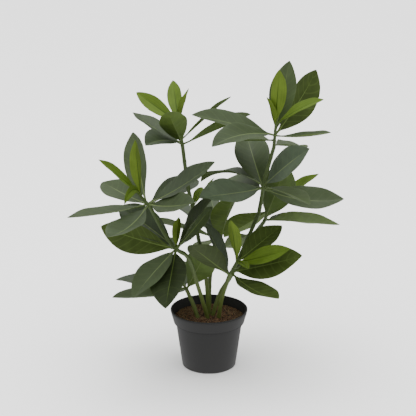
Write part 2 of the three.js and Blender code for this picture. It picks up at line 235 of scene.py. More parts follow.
# Leaves given the pale, dark or duller look carry painted sheen or painted shade.
SHOOTS = {
    "leaves_left_top": shoot(
        (-39, -30, 361), (-45, -32, 399),
        young(145, 25, 50),
        young(98, 35, 25),
        young(286, 49, -45),
        middle(259, 37, -20, seat=0.15),
        middle(135, 15, -5, bend=15, seat=0.15, look="dull"),
        middle(243, 13, 20, bend=-25, seat=0.1, wide=1.1, look="dull"),
        middle(43, 27, 40, wide=0.7),
        mature(40, 10, 40, bend=0, seat=0.1, long=1.1),
        middle(105, -5),
    ),
    "leaves_right_top": shoot(
        (97, -5, 354), (99, -6, 390),
        young(285, 80, 40, long=1.03, wide=1.1),
        bud(200, 72, -5, seat=0.9, wide=1.5),
        young(340, 32, -30, bend=-20),
        middle(55, 70, -20, seat=0.55),
        mature(47, 41, -73, bend=15, seat=0.5, long=1.04, wide=1.1, look="deep"),
        middle(312, 13, -5, bend=15, seat=0.5, long=1.04, wide=0.75),
        mature(190, 16, 20, seat=0.5, long=1.05, look="dull"),
        mature(220, 2, 20, bend=-35, seat=0.5, wide=0.95, look="dull"),
        middle(60, -15, -5, seat=0.1),
        middle(140, -10),
    ),
    "leaves_right_middle": shoot(
        (81, -8, 287), (83, -8, 304),
        mature(103, 30, 15, bend=5, wide=1.15, look="dull"),
        mature(310, 39, -72, seat=0.4, wide=0.93, look="pale"),
        mature(137, -8, -5, bend=-60, seat=0.4, long=1.1, wide=0.8),
        mature(220, 5, 30, bend=5, wide=1.08, look="pale"),
        middle(305, 0, 5, bend=-20),
        mature(350, -5, -30, bend=35),
        mature(120, -10, 20),
    ),
    "leaves_right_back": shoot(
        (86, 55, 216), (96, 59, 238),
        mature(298, 60, 55, bend=5, seat=0.1, wide=1.15),
        young(10, 35, -20, bend=-10, long=1.1),
        mature(330, 5, 40, bend=-5, long=1.03),
        middle(40, -13, -5, seat=0.15, long=0.9),
        middle(75, 5, seat=0.4),
        mature(140, -35, -30, bend=5, seat=0.9, long=0.9, wide=1.1, look="deep"),
    ),
    "leaves_right_fork": shoot(
        (56, 8, 196), (76, 8, 245),
        middle(113, -29, -50, bend=5, seat=0.35, wide=0.65),
    ),
    "leaves_middle_back": shoot(
        (17, 38, 191), (21, 38, 206),
        mature(289, 56, -32, bend=-10, wide=1.3, look="deep"),
        mature(130, 15, -10),
        mature(165, 10, -25, bend=-5),
        middle(100, 20, seat=0.5, wide=0.7),
        middle(115, -30, seat=0.4),
    ),
    "leaves_left_shoot": shoot(
        (-24, -20, 260), (-26, -21, 273),
        bud(20, 50, 35, bend=0, seat=0.4, long=1.15),
        bud(70, 20, -15, seat=0.6),
    ),
    "leaves_left_outer": shoot(
        (-87, -68, 281), (-101, -74, 300),
        young(200, 45, 30),
        middle(107, 50, 55, bend=5, seat=0.4, long=1.02, wide=1.12),
        young(252, 77, -65, bend=5, seat=0.9, long=1.08),
        bud(245, 0, 65, bend=-130, seat=0.95, long=1.25),
        mature(126, 2, 20, bend=10, long=1.03, look="dull"),
        mature(205, -1, bend=15, wide=0.8, look="dull"),
        mature(345, 35, -25, bend=15),
        mature(57, 1, -25, bend=-15, long=1.1, wide=0.8),
        middle(55, -10, 30, bend=5, seat=0.2),
        middle(310, 15, -35, bend=15, seat=0.15),
        mature(245, -5, bend=40, seat=0.15),
    ),
    "leaves_left_middle": shoot(
        (-46, -54, 207), (-54, -56, 215),
        mature(160, 10, 75, bend=10, seat=0.4, look="deep"),
        mature(140, 20, 40, bend=-10, seat=0.4),
        mature(240, -18, 5, bend=-10, seat=0.4, wide=0.9),
        mature(264, -20, -15, bend=0, seat=0.4, long=1.05, wide=1.2, look="dark"),
        mature(310, 50, -48, bend=-5, seat=0.4, look="dark"),
        bud(285, 75, -20, seat=0.35, long=1.2, wide=1.2),
        middle(25, 45, -20, long=0.75, wide=0.85),
        middle(110, -10),
    ),
    "leaves_right_front": shoot(
        (30, -40, 160), (43, -48, 190),
        young(255, 65, 20, seat=0.9),
        middle(40, 23, -15, seat=0.85, long=0.9, look="deep"),
        middle(320, 24, -55, bend=5, seat=0.85, long=0.98, wide=0.7, look="young"),
        mature(328, 22, -60, bend=5, seat=0.3, long=1.04, wide=1.05, look="deep"),
        mature(300, 1, bend=25, seat=0.25, long=1.07, wide=0.9, look="deep"),
        bud(290, 5, -10, seat=0.95),
        mature(146, 59, -8, bend=0, seat=0.1, long=0.71, wide=0.8),
        mature(232, 38, -32, bend=0, seat=0.1, wide=0.9, look="dark"),
        middle(50, -5),
        middle(35, 0, seat=0.5),
    ),
    "leaves_low_left": shoot(
        (-34, 8, 119), (-38, 8, 125),
        mature(155, -2, 5, seat=0.5, look="dull"),
        mature(210, 5, bend=15, seat=0.4, long=1.03, look="dull"),
        mature(305, 55, 55, bend=0, seat=0.3, long=0.85),
        middle(100, 5, seat=0.5),
        middle(245, 12, seat=0.5, long=0.75),
    ),
}


def limb(goal, *path, source=None, beside=None):
    """A stem or a bough, by points on its way to the foot of a shoot, its goal.

    A stem's first point is where it leaves the soil. A bough starts from the top of another shoot, its
    source, or from that shoot's side, at a share of its length.
    """
    return {"goal": goal, "path": path, "source": source, "beside": beside}


LIMBS = {
    "stem_low_left": limb("leaves_low_left", (-15, -8, SOIL_Z), (-24, 0, 98)),
    "stem_left": limb("leaves_left_middle", (0, -5, SOIL_Z), (-18, -28, 144), (-33, -48, 196)),
    "stem_left_tall": limb("leaves_left_shoot", (0, 9, SOIL_Z), (-5, -2, 147), (-18, -14, 223)),
    "stem_middle": limb("leaves_middle_back", (0, 16, SOIL_Z), (3, 22, 146), (12, 34, 176)),
    "stem_right_tall": limb("leaves_right_fork", (3, 2, SOIL_Z), (18, 4, 118), (35, 5, 146)),
    "stem_right_front": limb("leaves_right_front", (14, -5, SOIL_Z), (20, -20, 118)),
    "bough_left_outer": limb("leaves_left_outer", (-70, -62, 244), source="leaves_left_middle"),
    "bough_left_top": limb("leaves_left_top", (-29, -22, 283), (-34, -25, 316), source="leaves_left_shoot"),
    "bough_right_middle": limb("leaves_right_middle", (79, 0, 268), source="leaves_right_fork"),
    "bough_right_top": limb("leaves_right_top", (87, -8, 318), (93, -6, 340), source="leaves_right_middle"),
    "bough_right_back": limb("leaves_right_back", (75, 35, 209), source="leaves_right_fork", beside=0.12),
}


def look(upper, lower, rib, veins=0.07, roughness=0.5, specular=0.6):
    """A leaf's look: its base colours, how strongly side veins are printed, its roughness and its gloss."""
    colours = {"upper": upper, "lower": lower, "rib": rib}
    return {**colours, "veins": veins, "roughness": roughness, "specular": specular}


LEAF_LOOKS = {
    # The mature and middle upper colours are their own green with a little grey added as painted sheen.
    "mature": look((0.058, 0.084, 0.043), (0.125, 0.200, 0.036), (0.23, 0.31, 0.10)),
    # Lighter and greyer upper colour: painted sheen.
    "pale": look((0.098, 0.137, 0.084), (0.130, 0.205, 0.050), (0.25, 0.33, 0.13)),
    "deep": look((0.071, 0.106, 0.023), (0.115, 0.182, 0.026), (0.20, 0.29, 0.07), 0.2, 0.55, 0.15),
    # Darker colours: painted shade, for leaves in the plant's shadow.
    "dark": look((0.035, 0.053, 0.018), (0.062, 0.088, 0.028), (0.17, 0.25, 0.06), 0.07, 0.52, 0.2),
    "middle": look((0.064, 0.093, 0.042), (0.130, 0.205, 0.034), (0.24, 0.33, 0.10), specular=0.5),
    "young": look((0.127, 0.208, 0.022), (0.205, 0.310, 0.040), (0.055, 0.105, 0.008), 0, 0.62, 0.2),
    # Darker upper colour as painted shade, with less gloss.
    "dull": look((0.046, 0.068, 0.033), (0.120, 0.192, 0.034), (0.21, 0.29, 0.09), specular=0.42),
}

# Other base colours
STEM_COLOUR = (0.080, 0.125, 0.030)
# Painted light: the stems' paler colour near the soil.
STEM_FOOT_PAINTED_LIGHT_COLOUR = (0.19, 0.25, 0.055)
STEM_STREAK_COLOUR = (0.15, 0.215, 0.065)
POT_COLOUR = (0.0185, 0.0185, 0.018)
# Lighter plastic of the worn foot and of the rim, whose lighter edge is also a painted highlight.
POT_WORN_AND_HIGHLIGHT_COLOUR = (0.05, 0.051, 0.052)
SOIL_COLOUR = (0.070, 0.034, 0.018)
FLOOR_COLOUR = (0.86, 0.86, 0.86)

# Numbers of the finishes. NOISE is a scale, in lumps a metre where it follows the object, and a detail.
# RANGE is where a mask starts and where it is full. SHADES are the darkest and lightest share of a colour.
# ROUGHNESS is the least and what the noise adds to it. BUMP is a depth and a strength.
# YOUNG_STRIPE_WAVE is in radians from the midrib to a margin.
LEAF_NOISE = (55, 4)
LEAF_NOISE_RANGE = (0.3, 0.72)
LEAF_SHADES = (0.84, 1.16)
LEAF_TONE_SHARE = 0.3
LEAF_TONE_SHADE = 1.1
LEAF_GRAIN_NOISE = (700, 3)
LEAF_GRAIN_HEIGHT = 0.25
LEAF_ROUGHNESS_SPREAD = 0.14
LEAF_UNDERSIDE_ROUGHER = 0.08
LEAF_BUMP = (0.22, 0.8)
YOUNG_GRAIN_NOISE = (900, 2)
YOUNG_STRIPE_WAVE = 21
YOUNG_STRIPE_SHARE = 0.35
YOUNG_STRIPE_SHADE = 1.3
YOUNG_STRIPE_HEIGHT = 0.7
VEIN_PRINT_RANGE = (0.86, 1)
VEIN_PRINT_HEIGHT = 0.3
RIB_PRINT_WIDTH_AT_TIP = 0.22
RIB_PRINT_TAPER = 0.85
RIB_PRINT_RANGE = (0.55, 1.25)
RIB_PRINT_FADE = (0.62, 0.93)
RIB_PRINT_LEAST = 0.15
RIB_PRINT_SHARE = 0.9
RIB_PRINT_HEIGHT = 0.3
STALK_PRINT_RANGE = (STALK_END * 0.9, STALK_END * 1.7)
MARGIN_PRINT_RANGE = (0.955, 0.995)
MARGIN_PRINT_SHARE = 0.3
MARGIN_PRINT_SHADE = 0.8
STEM_STREAK_STRETCH = (1.6, 0.02)
STEM_STREAK_NOISE = (2.4, 4)
STEM_STREAK_RANGE = (0.38, 0.68)
STEM_STREAK_HEIGHT = 0.6
STEM_MOTTLE_NOISE = (260, 3)
STEM_MOTTLE_RANGE = (0.45, 0.8)
STEM_MOTTLE_SHARE = 0.5
STEM_MOTTLE_SHADE = 0.72
STEM_MOTTLE_HEIGHT = 0.4
# Painted light: between these heights the stems grow paler towards the soil.
STEM_FOOT_PAINTED_LIGHT_RANGE = (110, 190)
STEM_FOOT_PAINTED_LIGHT_SHARE = 0.65
STEM_ROUGHNESS = (0.4, 0.16)
STEM_BUMP = (0.25, 0.8)
POT_NOISE = (22, 3)
POT_NOISE_RANGE = (0.3, 0.7)
POT_SHADES = (0.9, 1.12)
POT_GRAIN_NOISE = (1500, 2)
POT_GRAIN_ROUGHER = 0.06
# The rim's lighter edge is worn plastic and a painted highlight; the foot's is worn plastic.
POT_WEAR_AND_HIGHLIGHT_NOISE = (160, 4)
POT_WEAR_AND_HIGHLIGHT_RANGE = (0.35, 0.65)
POT_RIM_WEAR_AND_HIGHLIGHT = {"height": 1.6, "share": 0.8}
POT_FOOT_WEAR = {"height": 3, "share": 0.45}
# Painted shade: the step under the band is darkened between these heights, and made rougher.
POT_LEDGE_RANGE = (BAND_FOOT_Z - 3, BAND_FOOT_Z - 1.5)
POT_OVER_LEDGE_RANGE = (BAND_FOOT_Z + 0.5, BAND_FOOT_Z + 2)
POT_LEDGE_PAINTED_SHADE_SHARE = 0.32
POT_LEDGE_PAINTED_SHADE = 0.3
POT_LEDGE_ROUGHER = 0.25
POT_ROUGHNESS = (0.4, 0.12)
POT_BUMP = (0.06, 0.6)
SOIL_NOISE = (420, 4)
SOIL_NOISE_RANGE = (0.35, 0.7)
SOIL_SHADES = (0.7, 1.35)
SOIL_ROUGHNESS = (0.72, 0.2)
SOIL_BUMP = (0.4, 0.8)
FLOOR_NOISE = (1.2, 2)
FLOOR_SHADES = (0.99, 1)
FLOOR_ROUGHNESS = (0.85, 0.05)
FLOOR_SPECULAR = 0.2


# Nodes


def feed(tree, value, slot):
    """Links a socket to a slot, or sets the slot to a plain number, colour or material."""
    source = value.socket if isinstance(value, Value) else value
    if isinstance(source, bpy.types.NodeSocket):
        tree.links.new(source, slot)
    else:
        slot.default_value = source


def add_node(tree, kind, settings, slots):
    """A node of a kind, with its settings made first, then its slots fed by name or place."""
    node = tree.nodes.new(kind)
    for name, value in settings.items():
        setattr(node, name, value)
    for key, value in slots.items():
        feed(tree, value, node.inputs[key])
    return node


def split(tree, vector):
    """The three numbers of a vector."""
    node = add_node(tree, "ShaderNodeSeparateXYZ", {}, {0: vector})
    return [Value(tree, socket) for socket in node.outputs]


class Value:
    """A shader socket. Python's operators on it add Math nodes."""

    def __init__(self, tree, socket):
        self.tree = tree
        self.socket = socket

    def maths(self, operation, *terms):
        node = add_node(self.tree, "ShaderNodeMath", {"operation": operation}, dict(enumerate(terms)))
        return Value(self.tree, node.outputs[0])

    def __add__(self, other):
        return self.maths("ADD", self, other)

    def __sub__(self, other):
        return self.maths("SUBTRACT", self, other)

    def __rsub__(self, other):
        return self.maths("SUBTRACT", other, self)

    def __mul__(self, other):
        return self.maths("MULTIPLY", self, other)

    __radd__ = __add__
    __rmul__ = __mul__

    def __abs__(self):
        return self.maths("ABSOLUTE", self)

    def power(self, exponent):
        return self.maths("POWER", self, exponent)

    def ripple(self):
        """A wave from 0 to 1 and back, highest where the angle is 0."""
        return self.maths("COSINE", self) * 0.5 + 0.5

    def between(self, low, high):
        """0 under low, 1 over high, and a smooth step from one to the other."""
        slots = {"Value": self, "From Min": low, "From Max": high}
        node = add_node(self.tree, "ShaderNodeMapRange", {"interpolation_type": "SMOOTHSTEP"}, slots)
        return Value(self.tree, node.outputs["Result"])


class Finish:
    """One material and its Principled shader."""

    def __init__(self, name):
        self.material = bpy.data.materials.new(name)
        self.material.use_nodes = True
        self.tree = self.material.node_tree
        self.shader = self.tree.nodes["Principled BSDF"]

    def node(self, kind, output, settings, slots):
        """One output of a new node."""
        return Value(self.tree, add_node(self.tree, kind, settings, slots).outputs[output])

    def set(self, name, value):
        feed(self.tree, value, self.shader.inputs[name])

    def mix(self, share, first, second):
        """A colour that goes from the first to the second as the share goes from 0 to 1."""
        slots = {"Fac": share, "Color1": full(first), "Color2": full(second)}
        return self.node("ShaderNodeMixRGB", "Color", {}, slots)

    def shaded(self, share, colour, shades):
        """A colour that goes from its darkest to its lightest shade as the share goes from 0 to 1."""
        return self.mix(share, scaled(colour, shades[0]), scaled(colour, shades[1]))

    def place(self):
        """Where a point is on the object, in metres."""
        return self.node("ShaderNodeTexCoord", "Object", {}, {})

    def height(self):
        """How high a point is above the ground, in millimetres."""
        return split(self.tree, self.place())[2] * (1 / MM)

    def marked(self, attribute):
        """The three numbers of a vector attribute."""
        vector = self.node("ShaderNodeAttribute", "Vector", {"attribute_name": attribute}, {})
        return split(self.tree, vector)

    def number(self, attribute):
        return self.node("ShaderNodeAttribute", "Fac", {"attribute_name": attribute}, {})

    def noise(self, scale, detail, place=None):
        """Noise over the object, or over another vector where one is given."""
        slots = {"Vector": place or self.place(), "Scale": scale, "Detail": detail}
        return self.node("ShaderNodeTexNoise", "Fac", {}, slots)

    def roughness(self, noise, least, added):
        self.set("Roughness", noise * added + least)

    def bump(self, height, depth, strength):
        slots = {"Height": height, "Distance": depth * MM, "Strength": strength}
        self.set("Normal", self.node("ShaderNodeBump", "Normal", {}, slots))


def full(colour):
    """A colour with its alpha, or a shader value as it is."""
    return colour if isinstance(colour, Value) else (*colour, 1)


def scaled(colour, factor):
    return tuple(channel * factor for channel in colour)


# Finishes


def striped(finish, across, body, base):
    """A young leaf's stripes along the blade: the colour with them, and their height."""
    stripes = (across * YOUNG_STRIPE_WAVE).ripple()
    colour = finish.mix(stripes * YOUNG_STRIPE_SHARE, body, scaled(base, YOUNG_STRIPE_SHADE))
    return colour, stripes * YOUNG_STRIPE_HEIGHT + finish.noise(*YOUNG_GRAIN_NOISE) * LEAF_GRAIN_HEIGHT


def veined(finish, across, along, body, leaf_look):
    """A grown leaf's side veins, which sweep to the tip: the colour with them, and their height."""
    sweep = abs(across).power(VEIN_SWEEP_POWER) * VEIN_SWEEP
    ridge = ((along - sweep) * (2 * math.pi * VEINS_PER_SIDE)).ripple()
    veins = ridge.between(*VEIN_PRINT_RANGE)
    colour = finish.mix(veins * leaf_look["veins"], body, leaf_look["rib"])
    grain = finish.noise(*LEAF_GRAIN_NOISE) * LEAF_GRAIN_HEIGHT
    return colour, (veins + ridge) * VEIN_PRINT_HEIGHT + grain


def printed_rib(along, off_rib):
    """1 on the midrib, which narrows and fades towards the tip."""
    width = (1 - along) * RIB_PRINT_TAPER + RIB_PRINT_WIDTH_AT_TIP
    low, high = RIB_PRINT_RANGE
    fade = 1 - along.between(*RIB_PRINT_FADE)
    strength = fade * (1 - RIB_PRINT_LEAST) + RIB_PRINT_LEAST
    return (1 - off_rib.between(width * low, width * high)) * strength


def leaf_finish(name, side):
    """A leaf of coated cloth: mottled, satin, with a paler midrib and margin and a stem-coloured stalk."""
    leaf_look = LEAF_LOOKS[name]
    base = leaf_look[side]
    finish = Finish(f"{name} leaf {side}")
    across, along, half_width = finish.marked("leaf_place")
    mottle = finish.noise(*LEAF_NOISE)
    body = finish.shaded(mottle.between(*LEAF_NOISE_RANGE), base, LEAF_SHADES)
    tone = finish.number("leaf_tone") * LEAF_TONE_SHARE
    body = finish.mix(tone, body, scaled(leaf_look["lower"], LEAF_TONE_SHADE))
    if name == "young":
        body, height = striped(finish, across, body, base)
    else:
        body, height = veined(finish, across, along, body, leaf_look)
    margin = abs(across).between(*MARGIN_PRINT_RANGE) * MARGIN_PRINT_SHARE
    body = finish.mix(margin, body, scaled(leaf_look["rib"], MARGIN_PRINT_SHADE))
    rib = printed_rib(along, abs(across) * half_width)
    body = finish.mix(rib * RIB_PRINT_SHARE, body, leaf_look["rib"])
    stalk = 1 - along.between(*STALK_PRINT_RANGE)
    finish.set("Base Color", finish.mix(stalk, body, STEM_STREAK_COLOUR))
    rougher = LEAF_UNDERSIDE_ROUGHER if side == "lower" else 0
    least = leaf_look["roughness"] + rougher - LEAF_ROUGHNESS_SPREAD / 2
    finish.roughness(mottle, least, LEAF_ROUGHNESS_SPREAD)
    finish.set("Specular IOR Level", leaf_look["specular"])
    finish.bump(height + rib * RIB_PRINT_HEIGHT, *LEAF_BUMP)
    return finish.material


def stem_finish():
    """Satin green plastic with paler streaks along it, and painted light that makes it paler towards the
    foot.
    """
    finish = Finish("stem plastic")
    round_stem, along, _ = finish.marked("stem_place")
    stretch_round, stretch_along = STEM_STREAK_STRETCH
    stretched = {"X": round_stem * stretch_round, "Y": along * stretch_along}
    streaks = finish.noise(*STEM_STREAK_NOISE, finish.node("ShaderNodeCombineXYZ", "Vector", {}, stretched))
    mottle = finish.noise(*STEM_MOTTLE_NOISE)
    colour = finish.mix(streaks.between(*STEM_STREAK_RANGE), STEM_COLOUR, STEM_STREAK_COLOUR)
    spots = mottle.between(*STEM_MOTTLE_RANGE) * STEM_MOTTLE_SHARE
    colour = finish.mix(spots, colour, scaled(STEM_COLOUR, STEM_MOTTLE_SHADE))
    # Painted light: paler towards the foot, where the stems meet the soil.
    foot = 1 - finish.height().between(*STEM_FOOT_PAINTED_LIGHT_RANGE)
    finish.set("Base Color", finish.mix(foot * STEM_FOOT_PAINTED_LIGHT_SHARE, colour, STEM_FOOT_PAINTED_LIGHT_COLOUR))
    finish.roughness(mottle, *STEM_ROUGHNESS)
    finish.bump(streaks * STEM_STREAK_HEIGHT + mottle * STEM_MOTTLE_HEIGHT, *STEM_BUMP)
    return finish.material


def pot_finish():
    """Moulded charcoal plastic: fine grain, a step under the band darkened as painted shade, and a worn rim
    and foot, the rim also lighter by a painted highlight.
    """
    finish = Finish("charcoal plastic")
    height = finish.height()
    grain = finish.noise(*POT_GRAIN_NOISE)
    cloud = finish.noise(*POT_NOISE)
    # The top of the rim is lighter: worn, and with a painted highlight.
    rim = height.between(POT_HEIGHT - POT_RIM_WEAR_AND_HIGHLIGHT["height"], POT_HEIGHT) * POT_RIM_WEAR_AND_HIGHLIGHT["share"]
    foot = (1 - height.between(0, POT_FOOT_WEAR["height"])) * POT_FOOT_WEAR["share"]
    wear_and_highlight = (rim + foot) * finish.noise(*POT_WEAR_AND_HIGHLIGHT_NOISE).between(*POT_WEAR_AND_HIGHLIGHT_RANGE)
    # Painted shade on the step under the band, which also marks where the plastic is rougher.
    painted_ledge_shade = height.between(*POT_LEDGE_RANGE) * (1 - height.between(*POT_OVER_LEDGE_RANGE))
    colour = finish.shaded(cloud.between(*POT_NOISE_RANGE), POT_COLOUR, POT_SHADES)
    colour = finish.mix(painted_ledge_shade * POT_LEDGE_PAINTED_SHADE_SHARE, colour, scaled(POT_COLOUR, POT_LEDGE_PAINTED_SHADE))
    finish.set("Base Color", finish.mix(wear_and_highlight, colour, POT_WORN_AND_HIGHLIGHT_COLOUR))
    least, added = POT_ROUGHNESS
    rougher = grain * POT_GRAIN_ROUGHER + painted_ledge_shade * POT_LEDGE_ROUGHER
    finish.roughness(cloud, rougher + least, added)
    finish.bump(grain, *POT_BUMP)
    return finish.material


def soil_finish(name, colour):
    """Dull, speckled crumbs of one colour."""
    finish = Finish(name)
    speckle = finish.noise(*SOIL_NOISE)
    finish.set("Base Color", finish.shaded(speckle.between(*SOIL_NOISE_RANGE), colour, SOIL_SHADES))
    finish.roughness(speckle, *SOIL_ROUGHNESS)
    finish.bump(speckle, *SOIL_BUMP)
    return finish.material


def floor_finish():
    """A pale, almost even studio floor."""
    finish = Finish("pale floor")
    cloud = finish.noise(*FLOOR_NOISE)
    finish.set("Base Color", finish.shaded(cloud, FLOOR_COLOUR, FLOOR_SHADES))
    finish.roughness(cloud, *FLOOR_ROUGHNESS)
    finish.set("Specular IOR Level", FLOOR_SPECULAR)
    return finish.material


# Meshes


def add_object(name, data):
    made = bpy.data.objects.new(name, data)
    bpy.context.scene.collection.objects.link(made)
    return made


def add_mesh(name, points, faces):
    """A mesh object at the origin, by its points in millimetres and its faces."""
    mesh = bpy.data.meshes.new(name)
    mesh.from_pydata((np.array(points, float) * MM).tolist(), [], faces)
    return add_object(name, mesh)


def circle(radius, sides, height):
    """Points round the upright axis, at one height or at a height that depends on x and y."""
    angles = np.linspace(0, 2 * math.pi, sides, endpoint=False)
    x = radius * np.cos(angles)
    y = radius * np.sin(angles)
    z = height(x, y) if callable(height) else np.full(sides, height)
    return np.stack([x, y, z], axis=1)


def rings_mesh(rings):
    """Vertices and faces of a closed skin over rings of points that go anticlockwise round their way."""
    count = len(rings[0])
    points = np.concatenate([*rings, [rings[0].mean(0)], [rings[-1].mean(0)]])
    first_cap = len(points) - 2
    last_cap = first_cap + 1
    faces = []
    for i in range(len(rings) - 1):
        for j in range(count):
            a = i * count + j
            b = i * count + (j + 1) % count
            faces.append((a, b, b + count, a + count))
    last = first_cap - count
    for j in range(count):
        k = (j + 1) % count
        faces.append((first_cap, k, j))
        faces.append((last_cap, last + j, last + k))
    return points, faces


class Parts:
    """Meshes that are gathered into one piece, with their materials, attributes and sharp points."""

    def __init__(self):
        self.points = []
        self.faces = []
        self.slots = []
        self.marks = {}
        self.sharp = []
        self.count = 0

    def add(self, points, faces, slots, sharp, **marks):
        self.points.append(np.asarray(points, float))
        self.faces += [tuple(v + self.count for v in face) for face in faces]
        self.slots += list(slots)
        self.sharp.append(np.asarray(sharp, int))
        for name, values in marks.items():
            self.marks.setdefault(name, []).append(np.asarray(values, float))
        self.count += len(points)

    def make(self, name, materials):
        """The piece as one object. Sharp edges join points of one sharp line."""
        made = add_mesh(name, np.concatenate(self.points), self.faces)
        mesh = made.data
        for material in materials:
            mesh.materials.append(material)
        mesh.polygons.foreach_set("material_index", np.array(self.slots, np.int32))
        mesh.polygons.foreach_set("use_smooth", np.ones(len(self.faces), bool))
        for mark, blocks in self.marks.items():
            values = np.concatenate(blocks).astype(np.float32)
            kind, field = ("FLOAT_VECTOR", "vector") if values.ndim > 1 else ("FLOAT", "value")
            mesh.attributes.new(mark, kind, "POINT").data.foreach_set(field, values.ravel())
        ends = np.zeros(len(mesh.edges) * 2, np.int32)
        mesh.edges.foreach_get("vertices", ends)
        line = np.concatenate(self.sharp)[ends.reshape(-1, 2)]
        mesh.edges.foreach_set("use_edge_sharp", (line[:, 0] > 0) & (line[:, 0] == line[:, 1]))
        mesh.update()
        return made


def smooth_skin(name, rings, material):
    """One piece of one material over rings, with no sharp edge."""
    points, faces = rings_mesh(rings)
    parts = Parts()
    parts.add(points, faces, [0] * len(faces), np.zeros(len(points), int))
    return parts.make(name, [material])


def smooth(t, low, high):
    """0 under low, 1 over high, and a smooth step from one to the other."""
    u = np.clip((t - low) / (high - low), 0, 1)
    return u * u * (3 - 2 * u)


def unit(vector):
    return vector / np.linalg.norm(vector)


# Stems


def stem_radius(z):
    share = np.clip((z - SOIL_Z) / (CROWN_Z - SOIL_Z), 0, 1)
    return STEM_RADIUS_AT_SOIL + (STEM_RADIUS_AT_TOP - STEM_RADIUS_AT_SOIL) * share


def spline(points):
    """A centripetal Catmull-Rom curve through the points, as points at even steps along it."""
    knots = [2 * points[0] - points[1], *points, 2 * points[-1] - points[-2]]
    line = []
    for before, start, end, after in zip(knots, knots[1:], knots[2:], knots[3:]):
        runs = (start - before, end - start, after - end)
        gap_in, gap, gap_out = [np.linalg.norm(run) ** 0.5 for run in runs]
        leaving = (start - before) / gap_in - (end - before) / (gap_in + gap) + (end - start) / gap
        arriving = (end - start) / gap - (after - start) / (gap + gap_out) + (after - end) / gap_out
        for t in np.linspace(0, 1, CURVE_POINTS, endpoint=False):
            line.append(
                (2 * t**3 - 3 * t**2 + 1) * start
                + (t**3 - 2 * t**2 + t) * leaving * gap
                + (3 * t**2 - 2 * t**3) * end
                + (t**3 - t**2) * arriving * gap
            )
    line = np.array([*line, points[-1]])
    walked = np.concatenate([[0], np.cumsum(np.linalg.norm(np.diff(line, axis=0), axis=1))])
    steps = max(STEM_FEWEST_STEPS, round(walked[-1] / STEM_STEP))
    stations = np.linspace(0, walked[-1], steps + 1)
    return np.stack([np.interp(stations, walked, line[:, i]) for i in range(3)], axis=1), stations


def knotted(height, angles):
    """How far ridges and knots raise a stem's skin at a height, as a share of its radius."""
    knot_at = (height % STEM_KNOT_SPACING) - STEM_KNOT_SPACING / 2
    knot = STEM_KNOT_HEIGHT * math.exp(-((knot_at / STEM_KNOT_WIDTH) ** 2))
    return knot + STEM_RIDGE_HEIGHT * np.cos(STEM_RIDGES * angles + height * STEM_RIDGE_TWIST)


def make_stem(name, points, first_way, last_way, material, tip=False):
    """A ridged, knotted stem along a list of points. A tip narrows and ends in a rounded bud."""
    centres, stations = spline([np.array(point, float) for point in points])
    ways = np.gradient(centres, stations, axis=0)
    ways[0] = first_way
    ways[-1] = last_way
    narrowing = SHOOT_TIP_SHARE if tip else 1
    angles = np.linspace(0, 2 * math.pi, STEM_SIDES, endpoint=False)
    rings = []
    marks = []
    for centre, way, share in zip(centres, ways, stations / stations[-1]):
        right = unit(np.cross((0, 1, 0), unit(way)))
        over = unit(np.cross(unit(way), right))
        height = centre[2]
        radius = (stem_radius(height) + STEM_SKIN) * (1 + (narrowing - 1) * share)
        radii = radius * (1 + knotted(height, angles))
        offsets = np.outer(np.cos(angles) * radii, right) + np.outer(np.sin(angles) * radii, over)
        rings.append(centre + offsets)
        marks.append(np.stack([np.cos(angles), np.full(STEM_SIDES, height), np.sin(angles)], axis=1))
    if tip:
        for share in SHOOT_BUD_RINGS:
            centre = centres[-1] + last_way * SHOOT_BUD_LENGTH * share
            rings.append(centre + offsets * math.sqrt(1 - share**2))
            marks.append(marks[-1])
    points, faces = rings_mesh(rings)
    caps = [marks[0].mean(0), marks[-1].mean(0)]
    sharp = np.zeros(len(points), int)
    sharp[:STEM_SIDES] = 1
    if not tip:
        sharp[-STEM_SIDES - 2 : -2] = 2
    parts = Parts()
    parts.add(points, faces, [0] * len(faces), sharp, stem_place=np.concatenate([*marks, caps]))
    return parts.make(name, [material])


def shoot_line(name):
    """A shoot's foot and top, and the way from one to the other."""
    foot = np.array(SHOOTS[name]["foot"], float)
    top = np.array(SHOOTS[name]["top"], float)
    return foot, top, unit(top - foot)


def make_limb(name, material):
    """A stem from the soil, or a bough from a shoot, to the foot of another shoot."""
    given = LIMBS[name]
    path = [np.array(point, float) for point in given["path"]]
    goal, _, last_way = shoot_line(given["goal"])
    if given["source"] is None:
        first_way = np.array([0, 0, 1.0])
        start = path.pop(0) - first_way * SINK_INTO_SOIL
    else:
        foot, top, first_way = shoot_line(given["source"])
        start = top - first_way * JOINT_GAP
        if given["beside"] is not None:
            fork = foot + (top - foot) * given["beside"]
            out = path[0] - fork
            first_way = unit(out - first_way * out.dot(first_way))
            start = fork + first_way * (stem_radius(fork[2]) - SINK_INTO_SHOOT)
    end = goal + last_way * JOINT_GAP
    return make_stem(f"{name}_bark", [start, *path, end], first_way, last_way, material)


def make_shoot(name, material):
    """A mass's own shoot. It has a tip where no limb goes on from its top."""
    foot, top, way = shoot_line(name)
    goes_on = any(given["source"] == name and given["beside"] is None for given in LIMBS.values())
    return make_stem(f"{name}_shoot", [foot, top], way, way, material, tip=not goes_on)


# Leaves


def leaf_ring():
    """A leaf's cross-section, over the top from one margin to the other, then back along the underside.

    For each point, its place across and 1 on the top, -1 on the underside or 0 on a margin.
    """
    even = np.linspace(0, 1, ACROSS_STEPS + 1)[1:-1] ** ACROSS_POWER
    right = np.array([*even, MARGIN_SHARE])
    over = np.concatenate([[-1], -right[::-1], [0], right, [1]])
    across = np.concatenate([over, over[-2:0:-1]])
    facing = np.concatenate([[0], np.ones(len(over) - 2), [0], -np.ones(len(over) - 2)])
    return across, facing


